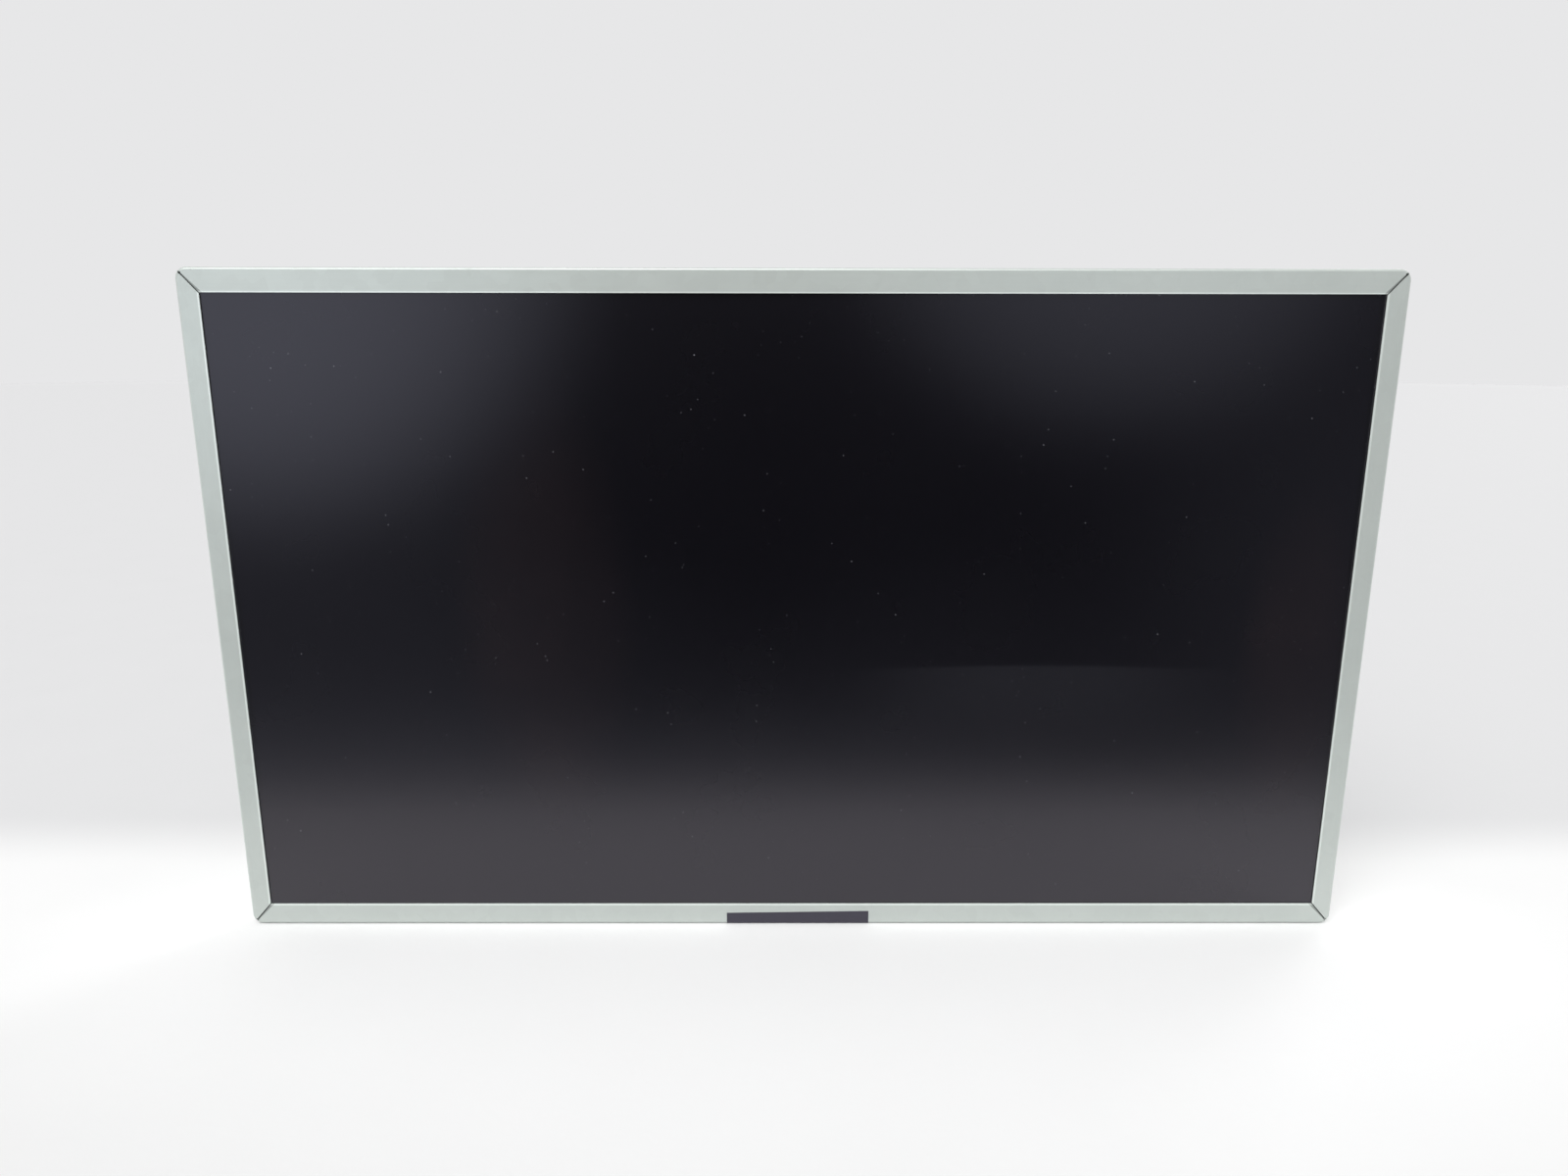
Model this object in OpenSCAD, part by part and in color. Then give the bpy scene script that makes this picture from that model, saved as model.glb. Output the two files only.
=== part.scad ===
// Edge-lit LCD panel, 23 inch class, as it is built into a desktop monitor.
// Each piece is modelled lying face up: X to the right, Y to the top of the screen and Z to the
// viewer, with Z = 0 on the bezel's front face. upright() then stands it up with the screen
// facing -Y and the middle of the whole panel at the origin.

/* [Outline] */
// Width over the bezel's side walls
panel_w = 533.2; // [515:0.2:560]
// Height over the bezel's top and bottom walls
panel_h = 312; // [300:0.5:330]
// Outer radius of the bezel's four corners, seen from the front
corner_r = 5; // [4:0.5:8]

/* [Bezel] */
// Thickness of the bezel's steel strip
bezel_t = 0.6; // [0.4:0.1:0.8]
// Outer radius of the long bend between flange and wall
bend_r = 1.2; // [1:0.1:2]
// Width of the flange at the left and right of the screen
flange_side = 9.6; // [9:0.1:10.5]
// Width of the flange above the screen
flange_top = 10.6; // [10:0.1:11.5]
// Width of the flange below the screen
flange_bottom = 10.8; // [10:0.1:11.5]
// Width of the mitre seams across the flange
seam_w = 0.5; // [0.3:0.1:0.8]
// Radius of the relief hole at the outer end of each seam
relief_r = 0.6; // [0.4:0.1:0.9]
// Gap of the joint where the strip's two ends lock together
joint_gap = 0.15; // [0.1:0.05:0.3]
// Distance of that joint from the bend at the lower left corner
joint_in = 12; // [8:1:20]
// Length of the snap windows in the walls
window_l = 14; // [8:1:20]
// Height of the snap windows in the walls
window_h = 2.2; // [1.8:0.1:2.6]
// Distance from the left end of the top wall to its first snap lug
lug_left = 60.6; // [50:0.2:80]
// Distance from the right end of the top wall to its last snap lug
lug_right = 44.6; // [35:0.2:60]
// Distance from the top and the bottom to the outer snap lugs of the side walls
lug_ends = 48; // [42:1:55]
// Length of the ears that fold over the back cover
ear_l = 11; // [8:1:16]
// Reach of the ears, measured in from the outside of the wall
ear_reach = 7; // [6:0.5:9]
// Distance from the left end of the top wall to its first ear
ear_left = 156.6; // [120:0.2:180]
// Distance from the right end of the top wall to its last ear
ear_right = 148.6; // [120:0.2:180]
// Distance from the top to the upper ear of each side wall
ear_top = 28; // [24:1:34]
// Distance from the middle down to the lower ear of each side wall
ear_low = 42; // [20:1:55]

/* [Liquid crystal cell] */
// Black border between the flange and the picture, at the left and right
border_side = 2.4; // [1.6:0.1:4]
// Black border between the flange and the picture, above and below
border_ends = 2.1; // [1.6:0.1:4]
// Thickness of each of the two glass sheets
glass_t = 0.5; // [0.4:0.1:0.7]
// Thickness of each polarizer
polarizer_t = 0.22; // [0.12:0.02:0.28]
// Thickness of the foam strips between flange and screen
cushion_t = 0.3; // [0.2:0.1:0.6]
// Width of those foam strips
cushion_w = 1.2; // [0.8:0.1:1.4]
// Thickness of the double-sided tape that holds the glass on its ledge
glass_tape_t = 0.28; // [0.28:0.02:0.4]

/* [Mould frame] */
// Thickness of the ledge under the glass
ledge_t = 1; // [0.8:0.1:1.5]
// Thickness of the skirt round the light guide
skirt_w = 3.2; // [2.8:0.1:3.6]

/* [Backlight] */
// Thickness of each of the three optical sheets
sheet_t = 0.3; // [0.2:0.05:0.4]
// Thickness of the light guide
guide_t = 3; // [3:0.1:4]
// Thickness of the reflector sheet
reflector_t = 0.25; // [0.15:0.05:0.4]
// Room for the light guide to grow as it warms
guide_slip = 0.7; // [0.4:0.1:0.9]
// Number of lamps on the light bar
led_count = 48; // [24:2:60]
// Length of one lamp
led_l = 5.6; // [4:0.2:7]
// Height of one lamp over its board
led_h = 0.9; // [0.7:0.1:1.2]
// Thickness of the light bar's board
led_board_t = 1; // [0.8:0.1:1.4]
// Thickness of the heat-conducting tape under that board
heat_tape_t = 0.2; // [0.1:0.05:0.3]

/* [Back cover] */
// Thickness of the back cover's sheet steel
cover_t = 0.8; // [0.6:0.1:1]
// Outer radius of the back cover's edge bend
cover_bend_r = 1.2; // [1.1:0.1:1.6]
// Width of the flat top of the stiffening beads
bead_w = 9; // [6:0.5:14]
// Height of the stiffening beads and their 45 degree sides
bead_h = 1; // [0.6:0.1:1.4]
// Distance of the bead ring from the left and right, at its middle line
bead_side = 51.6; // [40:0.2:60]
// Distance of the bead ring from the top, at its middle line
bead_top = 24; // [20:1:40]
// Distance of the bead ring from the bottom, at its middle line
bead_bottom = 66; // [60:1:90]
// Radius of the bead ring's corners, at its middle line
bead_corner = 22; // [15:1:40]
// Radius of the raised disc in the middle
bead_disc_r = 24; // [15:1:40]
// Height of the raised bosses under the driver board
boss_h = 0.8; // [0.6:0.1:1]
// Distance between the two mounting holes in each side
side_hole_pitch = 150; // [120:5:160]
// Radius of the mounting holes' thread, M3 at its core
side_hole_r = 1.25; // [1.2:0.05:1.4]

/* [Driver board] */
// Thickness of the driver board
board_t = 1; // [0.8:0.1:1.2]
// Height of the long, narrow part of the driver board
board_h = 20; // [18:1:24]
// Width of its taller middle, with the timing chip and the signal socket
tongue_w = 120; // [110:1:130]
// How much taller the middle is
tongue_up = 9; // [9:1:12]
// Number of driver films along the bottom of the glass
film_count = 6; // [4:2:8]
// Gap between two driver films, side by side
film_gap = 36.8; // [30:0.2:50]
// Thickness of the driver films
film_t = 0.1; // [0.08:0.01:0.14]
// Room for the films between the bezel's bottom wall and the back cover
film_room = 0.8; // [0.7:0.1:1]
// Sheet thickness of the shield over the driver board
shield_t = 0.4; // [0.3:0.1:0.5]
// Height inside the shield, over the back cover
shield_rise = 3.75; // [3.7:0.05:5]

/* [Black tape] */
// Length of the tape along the bottom edge
edge_tape_l = 70; // [40:1:100]
// Thickness of the tape
edge_tape_t = 0.12; // [0.08:0.02:0.2]
// Offset of the tape's middle to the right of the panel's middle
edge_tape_x = 2.7; // [-10:0.1:10]
// Width of the tape that shows on the flange, at its middle
edge_tape_front = 6.4; // [4:0.1:8]
// Tilt of the tape's upper edge, in degrees
edge_tape_tilt = 0.8; // [0:0.1:1.5]
// Width of the tape that lies on the back of the shield
edge_tape_back = 9; // [6:0.5:14]

/* [Hidden] */
$fn = 96;

slip = 0.1;               // clearance between pieces that slide into each other
eps = 0.5;                // how far a cut runs past the face it opens
fold_r = 0.3;             // inner radius of the small sheet metal folds

// The picture, inside the flange and its black border
active_w = panel_w - 2 * (flange_side + border_side);
active_h = panel_h - flange_top - flange_bottom - 2 * border_ends;

// Levels through the stack, from the bezel's front face back. Each is a piece's front face.
z_polarizer = -bezel_t - cushion_t;
z_filter = z_polarizer - polarizer_t;
z_tft = z_filter - glass_t;
z_tft_back = z_tft - glass_t;
z_ledge = z_tft_back - glass_tape_t;
z_ledge_back = z_ledge - ledge_t;
z_sheets = z_ledge_back - slip;
z_guide = z_sheets - 3 * sheet_t;
z_reflector = z_guide - guide_t;
z_floor = z_reflector - reflector_t;
z_cover_back = z_floor - cover_t;
z_board = z_cover_back - boss_h;
z_board_back = z_board - board_t;
z_roof = z_cover_back - shield_rise;
z_back = z_roof - shield_t;
z_cover_front = z_ledge_back - slip;
z_wall = (z_cover_front + z_floor) / 2;
z_skirt = z_floor + 0.6 * (cover_bend_r - cover_t);
z_led = z_floor + cover_bend_r - cover_t;

// Insets from the panel's outline to each piece's edge
cover_in = bezel_t + slip;
cover_in_bottom = bezel_t + film_room;
skirt_in = cover_in + cover_t + slip;
guide_in = skirt_in + skirt_w + guide_slip;
polarizer_lap = 1.6;      // how far the polarizers reach under the flange
filter_lap = 2.5;         // how far the colour filter glass reaches under the flange
tft_lap = 4;              // how far the lower glass reaches under it at the left and right
tft_lap_top = 3.6;
tft_lap_bottom = 6.2;     // its bottom ledge, which carries the driver films
tft_in = flange_side - tft_lap;
tft_in_top = flange_top - tft_lap_top;
tft_in_bottom = flange_bottom - tft_lap_bottom;
pocket_slip = 0.6;        // clearance round the glass in the mould frame
rim_step = 0.6 * (bend_r - bezel_t);  // keeps the mould frame out of the bezel's bend
cushion_set = 0.2;        // how far the foam strips lie behind the flange's edge
glass_tape_w = 1.6;
ledge_lap = 1;            // how far the ledge stays clear of the picture area

// Heights of what lies along the bottom edge
bottom = -panel_h / 2;
y_cover_bottom = bottom + cover_in_bottom;
y_led_back = y_cover_bottom + cover_t + heat_tape_t;
y_led = y_led_back + led_board_t;
led_gap = 0.3;            // air between the lamps and the light guide
y_guide_bottom = y_led + led_h + led_gap;
led_board_w = z_ledge_back - 1.5 * slip - z_led;
led_over = 3;             // how far the light bar runs past the picture, to its tail
led_board_x = [-active_w / 2, active_w / 2 + led_over];

// Optical sheets, and the light guide's notches and stops
sheet_slip = 0.4;         // how much smaller the sheets are than the light guide, a side
tab_xs = [-panel_w * 0.3, panel_w * 0.3];
tab_w = 8;
tab_reach = 1.1;          // how far a sheet's tab reaches into its notch in the skirt
tab_room = 0.5;           // what is left of the notch behind the tab
tab_side = 1;             // clearance beside the tab
notch_low = 38;           // from the panel's bottom to the middle of the lower notches
notch_high = 60;          // from its top to the middle of the upper ones
notch_ys = [-panel_h / 2 + notch_low, panel_h / 2 - notch_high];
notch_d = 3;
notch_l = 8;
stop_slip = 0.3;          // clearance of the stops in their notches

// Snap lugs, ears and holes round the walls
top_lugs = [-panel_w / 2 + lug_left, 14, panel_w / 2 - lug_right];
side_lugs = [-panel_h / 2 + lug_ends, 0, panel_h / 2 - lug_ends];
lug_slip = 0.6;           // clearance at both ends of a lug in its window
top_ears = [-panel_w / 2 + ear_left, panel_w / 2 - ear_right];
side_ears = [-ear_low, panel_h / 2 - ear_top];
side_holes = [-side_hole_pitch / 2, side_hole_pitch / 2];
side_hole_clear_r = 1.7;  // clearance for an M3 screw in the bezel's wall
collar_t = 0.6;           // wall of the tapped collars
collar_l = 1.8;           // length of the tapped collars inside the wall
collar_room = 2;          // clearance round the collars in the mould frame
ear_screw_in = skirt_in + skirt_w / 2;
ear_screw_r = 1;          // M2
ear_screw_l = 3.2;
thread_slip = 0.02;       // room round a screw's shank in its thread

// Driver films, board and shield
film_pitch = active_w / film_count;
film_w = film_pitch - film_gap;
film_xs = [for (i = [0 : film_count - 1]) (i - (film_count - 1) / 2) * film_pitch];
bottom_lugs = [for (i = [0 : film_count - 2]) (i - (film_count - 2) / 2) * film_pitch];
film_bend_r = 0.9;
film_bond = 2.8;          // how far a film lies on the glass
film_run = 4.6;           // from the fold to the driver board
film_solder = 2.5;        // how far a film lies on the driver board
film_side = 1;            // clearance beside a film in the mould frame
film_chip_l = 18;
film_chip_w = 1.8;
film_chip_t = 0.45;
board_end = 1.5;          // how far the board runs past the outer films
board_w = (film_count - 1) * film_pitch + film_w + 2 * board_end;
board_y = y_cover_bottom + film_run;
board_top = board_y + board_h + tongue_up;
hole_in = 5;              // from the board's ends and top to its screws
hole_up = 13;             // from the board's lower edge to its screws
board_holes = [[-board_w / 2 + hole_in, board_y + hole_up], [board_w / 2 - hole_in, board_y + hole_up],
    [-film_pitch, board_y + hole_up], [film_pitch, board_y + hole_up],
    [-tongue_w / 2 + hole_in, board_top - hole_in], [tongue_w / 2 - hole_in, board_top - hole_in]];
sheet_under_t = 0.15;     // insulating sheet under the board
sheet_under_in = 1;       // how much smaller it is than the board, a side
screw_r = 1.25;           // M2.5
screw_tip = 0.6;          // how far a screw reaches through the sheet of its boss
screw_head_r = 2.2;
screw_head_h = 1.3;
shield_end = 3;           // how far the shield runs past the board's ends
shield_over = 3.5;        // and past its top
shield_w = board_w + 2 * shield_end;
shield_y = bottom + bezel_t + slip;
shield_top = board_top + shield_over;
shield_lap = 1.5;         // overlap of the shield's edge behind the bezel's wall
shield_feet = [for (k = [-0.4, -0.25, -0.125, 0.125, 0.25, 0.4]) k * active_w];
foot_w = 12;
foot_l = 7;
boss_top_r = 3.4;
vent_w = 2;
vent_l = 12;
vent_pitch = 4.6;
vent_up = 4;              // from the board's lower edge to the slots

// Parts soldered to the driver board
part_grid = 4;
timing_w = 14;
timing_t = 1.1;
chip_l = 8;
chip_w = 6;
chip_t = 1;
capacitor_l = 2;
capacitor_w = 1.25;
capacitor_t = 0.8;
coil_r = 3;
coil_t = 1.6;

// Sockets for the signal and lamp plugs
socket_w = 38;
socket_d = 6.8;
socket_h = 2.1;
socket_wall = 0.45;
socket_floor = 1.4;
socket_set = 1;           // from the board's top edge to the socket's mouth
socket_pins = 30;
socket_pitch = 1;
socket_room = 2;          // the shield's notch round the socket
shell_t = 0.2;
pin_w = 0.3;
pin_t = 0.25;
tail_w = 12;
tail_t = 0.15;
tail_bend_r = 0.5;
tail_room = 0.5;          // the back cover's window round the tail
tail_in = 4.5;            // from the end of the picture to the tail's middle
tail_rise = 30;           // from the bottom of the panel to the tail's upper end
tail_x = active_w / 2 - tail_in;
tail_end = bottom + tail_rise;
led_socket_w = 10.4;
led_socket_d = 5.6;
led_socket_h = 2.6;
led_socket_wall = 0.6;
led_socket_y = tail_end - 2;
led_pins = 6;
led_pin_pitch = 1.25;

y_front = z_back / 2;     // puts the middle of the whole depth at Y = 0

steel = [0.74, 0.78, 0.76];
tinned = [0.82, 0.83, 0.84];
black = [0.1, 0.1, 0.11];
white = [0.93, 0.93, 0.92];
copper_film = [0.72, 0.45, 0.2];
board_green = [0.1, 0.36, 0.22];
gold = [0.85, 0.7, 0.35];

// Stands a piece up that was modelled lying face up.
module upright() {
    translate([0, y_front, 0]) rotate([90, 0, 0]) children();
}

// A rectangle as [width, height, middle in Y], from its insets behind the panel's outline.
function inset(side, top, bottom) = [panel_w - 2 * side, panel_h - top - bottom, (bottom - top) / 2];
function shrink(area, by) = [area[0] - 2 * by, area[1] - 2 * by, area[2]];

module rounded(area, r) {
    translate([0, area[2]]) {
        square([area[0], area[1] - 2 * r], center = true);
        square([area[0] - 2 * r, area[1]], center = true);
        if (r > 0) for (x = [-1, 1], y = [-1, 1])
            translate([x * (area[0] / 2 - r), y * (area[1] / 2 - r)]) circle(r);
    }
}

// A flat layer of thickness t whose front face is at the given level.
module layer(front, t) {
    translate([0, 0, front - t]) linear_extrude(t) children();
}

// Extrudes a section drawn as (Y, Z) along X, from x over a length l.
module across(x, l) {
    translate([x, 0, 0]) rotate([90, 0, 90]) linear_extrude(l) children();
}

// A rectangle between two corners.
module span(a, b) {
    translate([min(a[0], b[0]), min(a[1], b[1])]) square([abs(b[0] - a[0]), abs(b[1] - a[1])]);
}

// Quarter of a ring, the section of a bend. Its inside faces turn degrees plus 180.
module bend(outer_r, t, turn) {
    rotate(turn) intersection() {
        difference() {
            circle(outer_r);
            circle(outer_r - t);
        }
        square(outer_r);
    }
}

// Section of a bent edge: the bend and a short leg of sheet on either side of it.
module edge_section(r, t) {
    bend(r, t, 0);
    translate([r - t, -t]) square(t);
    translate([-t, r - t]) square(t);
}

// The bent edge and the walls of a tray whose face is at Z = 0 and whose walls hang down.
module tray_rim(area, r, bend_radius, t, wall) {
    translate([0, 0, -wall]) linear_extrude(wall - bend_radius) difference() {
        rounded(area, r);
        rounded(shrink(area, t), r - t);
    }
    for (i = [0 : 3]) {
        half = i % 2 == 0 ? [area[0] / 2, area[1] / 2] : [area[1] / 2, area[0] / 2];
        translate([0, area[2], -bend_radius]) rotate(90 * i) {
            translate([half[0] - bend_radius, half[1] - r, 0]) rotate([90, 0, 0])
                linear_extrude(2 * (half[1] - r)) edge_section(bend_radius, t);
            translate([half[0] - r, half[1] - r, 0]) rotate_extrude(angle = 90)
                translate([r - bend_radius, 0]) edge_section(bend_radius, t);
        }
    }
}

// Places on the four walls: local X points out of the wall and local Y runs along it.
module on_right(y) translate([panel_w / 2, y, 0]) children();
module on_left(y) translate([-panel_w / 2, y, 0]) rotate(180) children();
module on_top(x) translate([x, panel_h / 2, 0]) rotate(90) children();
module on_bottom(x) translate([x, -panel_h / 2, 0]) rotate(-90) children();

module on_sides(ys) {
    for (y = ys) {
        on_right(y) children();
        on_left(y) children();
    }
}

module at_ears() {
    for (x = top_ears) on_top(x) children();
    on_sides(side_ears) children();
}

module at_upper_lugs() {
    for (x = top_lugs) on_top(x) children();
    on_sides(side_lugs) children();
}

module at_bottom_lugs() {
    for (x = bottom_lugs) on_bottom(x) children();
}

module at_points(points) {
    for (p = points) translate([p[0], p[1], 0]) children();
}

// A pan head screw: head below its seat level, shank up from it.
module pan_screw(seat, r, length, head_r, head_h) {
    translate([0, 0, seat - head_h]) difference() {
        union() {
            cylinder(h = head_h * 0.6, r1 = head_r * 0.82, r2 = head_r);
            translate([0, 0, head_h * 0.6]) cylinder(h = head_h * 0.4, r = head_r);
        }
        for (a = [0, 90]) rotate(a) translate([-head_r * 0.5, -head_r * 0.11, -eps])
            cube([head_r, head_r * 0.22, eps + head_h * 0.55]);
    }
    translate([0, 0, seat]) cylinder(h = length, r = r);
}

// The steel frame round the screen. One strip of L section is notched and bent round the four
// corners: the walls run on round each corner, and the notches close to the mitre seams.
module mitre_seams() {
    opening = inset(flange_side, flange_top, flange_bottom);
    for (sx = [-1, 1], sy = [-1, 1]) {
        inner = [sx * opening[0] / 2, opening[2] + sy * opening[1] / 2];
        centre = [sx * (panel_w / 2 - corner_r), sy * (panel_h / 2 - corner_r)];
        outer = centre + corner_r * [sx, sy] * sqrt(0.5);
        run = outer - inner;
        translate([inner[0], inner[1], -bend_r]) rotate(atan2(run[1], run[0]))
            translate([-seam_w, -seam_w / 2, 0]) cube([norm(run) + seam_w + eps, seam_w, bend_r + eps]);
        foot = centre + (corner_r - bend_r) * [sx, sy] * sqrt(0.5);
        translate([foot[0], foot[1], -bend_r]) cylinder(h = bend_r + eps, r = relief_r);
    }
}

// The cut that parts the strip's two ends beside the lower left corner: a slit under the bend
// from the mitre seam, then a dovetail through the bottom wall.
module strip_joint() {
    x = -panel_w / 2 + corner_r + joint_in;
    neck = 1.1;
    head = 1.7;
    reach = 2.6;
    middle = -(bend_r - z_cover_back) / 2;
    on_bottom(x) translate([-bezel_t - slip / 2, 0, 0]) rotate([90, 0, 90]) linear_extrude(bezel_t + eps) {
        difference() {
            polygon([[0, middle + neck + joint_gap], [reach + joint_gap, middle + head + joint_gap],
                [reach + joint_gap, middle - head - joint_gap], [0, middle - neck - joint_gap]]);
            polygon([[-eps, middle + neck - eps * (head - neck) / reach], [reach, middle + head],
                [reach, middle - head], [-eps, middle - neck + eps * (head - neck) / reach]]);
        }
        span([0, -bend_r], [joint_gap, middle + neck]);
        span([0, middle - neck], [joint_gap, z_cover_back - eps]);
    }
    translate([-panel_w / 2 + corner_r * (1 - sqrt(0.5)), bottom - eps, -bend_r - joint_gap])
        cube([x + joint_gap + panel_w / 2 - corner_r * (1 - sqrt(0.5)), eps + corner_r * 0.4, joint_gap]);
}

module bezel() {
    outline = inset(0, 0, 0);
    wall = -z_cover_back - fold_r;
    color(steel) upright() difference() {
        union() {
            layer(0, bezel_t) difference() {
                rounded(shrink(outline, bend_r), corner_r - bend_r);
                rounded(inset(flange_side, flange_top, flange_bottom), 0);
            }
            tray_rim(outline, corner_r, bend_r, bezel_t, wall);
            at_ears() translate([0, ear_l / 2, 0]) rotate([90, 0, 0]) linear_extrude(ear_l) {
                translate([-bezel_t - fold_r, -wall]) bend(bezel_t + fold_r, bezel_t, -90);
                span([-bezel_t - fold_r, z_cover_back], [-ear_reach, z_cover_back - bezel_t]);
            }
        }
        mitre_seams();
        strip_joint();
        at_upper_lugs() snap_window();
        at_bottom_lugs() snap_window();
        on_sides(side_holes) translate([-bezel_t - eps, 0, z_wall]) rotate([0, 90, 0])
            cylinder(h = bezel_t + 2 * eps, r = side_hole_clear_r);
        at_ears() translate([-ear_screw_in, 0, z_cover_back - bezel_t - eps])
            cylinder(h = bezel_t + 2 * eps, r = ear_screw_r + slip);
    }
}

module snap_window() {
    translate([-bezel_t - eps, -window_l / 2, z_wall - window_h / 2])
        cube([bezel_t + 2 * eps, window_l, window_h]);
}

// Black tape folded from the flange round the bottom edge onto the shield. It was laid on
// slightly askew, so its upper edge climbs to the right.
module edge_tape() {
    t = edge_tape_t;
    wall_end = z_cover_back + fold_r;
    step_end = wall_end - (shield_y - bottom) * 2;
    shield_r = fold_r + shield_t;
    slope = tan(edge_tape_tilt);
    color(black) upright() difference() {
        across(edge_tape_x - edge_tape_l / 2, edge_tape_l) {
            span([bottom + bend_r, 0], [bottom + edge_tape_front + edge_tape_l * slope, t]);
            translate([bottom + bend_r, -bend_r]) bend(bend_r + t, t, 90);
            span([bottom - t, -bend_r], [bottom, wall_end]);
            polygon([[bottom, wall_end], [shield_y, step_end],
                [shield_y - t, step_end], [bottom - t, wall_end]]);
            span([shield_y - t, step_end], [shield_y, z_back + shield_r]);
            translate([shield_y + shield_r, z_back + shield_r]) bend(shield_r + t, t, 180);
            span([shield_y + shield_r, z_back - t], [shield_y + edge_tape_back, z_back]);
        }
        translate([edge_tape_x, bottom + edge_tape_front, -eps]) rotate(edge_tape_tilt)
            translate([-edge_tape_l, 0, 0]) cube([2 * edge_tape_l, edge_tape_front, t + 2 * eps]);
    }
}

// Four foam strips that close the gap between the flange and the screen.
module glass_cushions() {
    outer = inset(flange_side - cushion_set - cushion_w, flange_top - cushion_set - cushion_w,
        flange_bottom - cushion_set - cushion_w);
    color(black) upright() layer(-bezel_t, cushion_t) translate([0, outer[2]]) {
        for (s = [-1, 1]) {
            translate([0, s * (outer[1] - cushion_w) / 2]) square([outer[0], cushion_w], center = true);
            translate([s * (outer[0] - cushion_w) / 2, 0])
                square([cushion_w, outer[1] - 2 * cushion_w - 2 * slip], center = true);
        }
    }
}

// A pane that reaches behind the flange by the same lap on every side.
module pane(lap) {
    rounded(inset(flange_side - lap, flange_top - lap, flange_bottom - lap), 0);
}

module front_polarizer() {
    color([0.05, 0.05, 0.06]) upright() layer(z_polarizer, polarizer_t) pane(polarizer_lap);
}

module color_filter_glass() {
    color([0.3, 0.36, 0.34]) upright() layer(z_filter, glass_t) pane(filter_lap);
}

// The lower glass is larger: its bottom ledge carries the driver films.
module tft_glass() {
    color([0.36, 0.42, 0.4]) upright() layer(z_tft, glass_t)
        rounded(inset(tft_in, tft_in_top, tft_in_bottom), 0);
}

module rear_polarizer() {
    color([0.12, 0.12, 0.14]) upright() layer(z_tft_back, polarizer_t) pane(polarizer_lap);
}

// Double-sided tape that holds the glass down on its ledge.
module glass_tape() {
    outer = inset(tft_in + slip, tft_in_top + slip, tft_in_bottom + slip);
    color(black) upright() layer(z_tft_back, glass_tape_t) difference() {
        rounded(outer, 0);
        rounded(shrink(outer, glass_tape_w), 0);
    }
}

// Flexible driver films, bonded to the glass, folded round the bottom edge to the board.
module film_section() {
    y = y_cover_bottom;
    r = film_bend_r;
    tft_edge = bottom + tft_in_bottom;
    span([tft_edge + film_bond, z_tft], [y + r, z_tft + film_t]);
    translate([y + r, z_tft - r]) bend(r + film_t, film_t, 90);
    span([y - film_t, z_tft - r], [y, z_board_back + r]);
    translate([y + r, z_board_back + r]) bend(r + film_t, film_t, 180);
    span([y + r, z_board_back - film_t], [board_y + film_solder, z_board_back]);
}

module driver_films() {
    color(copper_film) upright() for (x = film_xs) across(x - film_w / 2, film_w) film_section();
}

// One long driver chip on the inner side of each film, between the fold and the board.
module driver_chips() {
    middle = (y_cover_bottom + film_bend_r + board_y) / 2;
    color(black) upright() for (x = film_xs) across(x - film_chip_l / 2, film_chip_l)
        span([middle - film_chip_w / 2, z_board_back],
            [middle + film_chip_w / 2, z_board_back + film_chip_t]);
}

// Black moulded frame: a ledge for the glass, a rim round it, and a skirt round the light
// guide on three sides. The light bar takes the skirt's place at the bottom.
module mould_frame() {
    outline = inset(cover_in, cover_in, cover_in_bottom);
    pocket = inset(tft_in - pocket_slip, tft_in_top - pocket_slip, tft_in_bottom - pocket_slip);
    picture = [active_w + 2 * ledge_lap, active_h + 2 * ledge_lap, (flange_bottom - flange_top) / 2];
    collar_half = side_hole_r + collar_t + collar_room;
    skirt_low = y_led + 6;
    skirt_face = skirt_in + skirt_w;
    color([0.13, 0.13, 0.14]) upright() difference() {
        union() {
            layer(-bezel_t - slip, rim_step) difference() {
                rounded(shrink(outline, rim_step), corner_r - cover_in - rim_step);
                rounded(pocket, 0);
            }
            layer(-bezel_t - slip - rim_step, -bezel_t - slip - rim_step - z_ledge_back) difference() {
                rounded(outline, corner_r - cover_in);
                rounded(pocket, 0);
            }
            layer(z_ledge, ledge_t) difference() {
                rounded(shrink(outline, pocket_slip), corner_r - cover_in - pocket_slip);
                rounded(picture, 0);
            }
            layer(z_ledge_back, z_ledge_back - z_skirt) difference() {
                rounded(inset(skirt_in, skirt_in, skirt_in), corner_r - skirt_in);
                rounded(inset(skirt_face, skirt_face, 0), 0);
                translate([-panel_w / 2, bottom]) square([panel_w, skirt_low - bottom]);
            }
        }
        for (x = film_xs)
            translate([x - film_w / 2 - film_side, y_cover_bottom - eps, z_tft - film_bend_r - slip])
                cube([film_w + 2 * film_side, bottom + tft_in_bottom - pocket_slip - y_cover_bottom + 2 * eps,
                    2 * film_bend_r + glass_t]);
        on_sides(side_holes) translate([-skirt_in - collar_l - slip, -collar_half, z_floor])
            cube([collar_l + slip + eps, 2 * collar_half, z_ledge_back - z_floor]);
        for (x = tab_xs) translate([x - tab_w / 2 - tab_side, panel_h / 2 - skirt_face - eps, z_floor])
            cube([tab_w + 2 * tab_side, tab_reach + tab_room + eps, z_ledge_back - z_floor]);
        at_ears() translate([-ear_screw_in, 0, z_floor - eps])
            cylinder(h = ear_screw_l + eps, r = ear_screw_r + thread_slip);
    }
}

// The three optical sheets hang by two tabs each in notches of the skirt.
module optical_sheet(front) {
    edge = guide_in + sheet_slip;
    tip = panel_h / 2 - skirt_in - skirt_w + tab_reach;
    layer(front, sheet_t) {
        rounded(inset(edge, edge, y_guide_bottom - bottom + sheet_slip), 0);
        for (x = tab_xs) span([x - tab_w / 2, panel_h / 2 - edge - eps], [x + tab_w / 2, tip]);
    }
}

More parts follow.
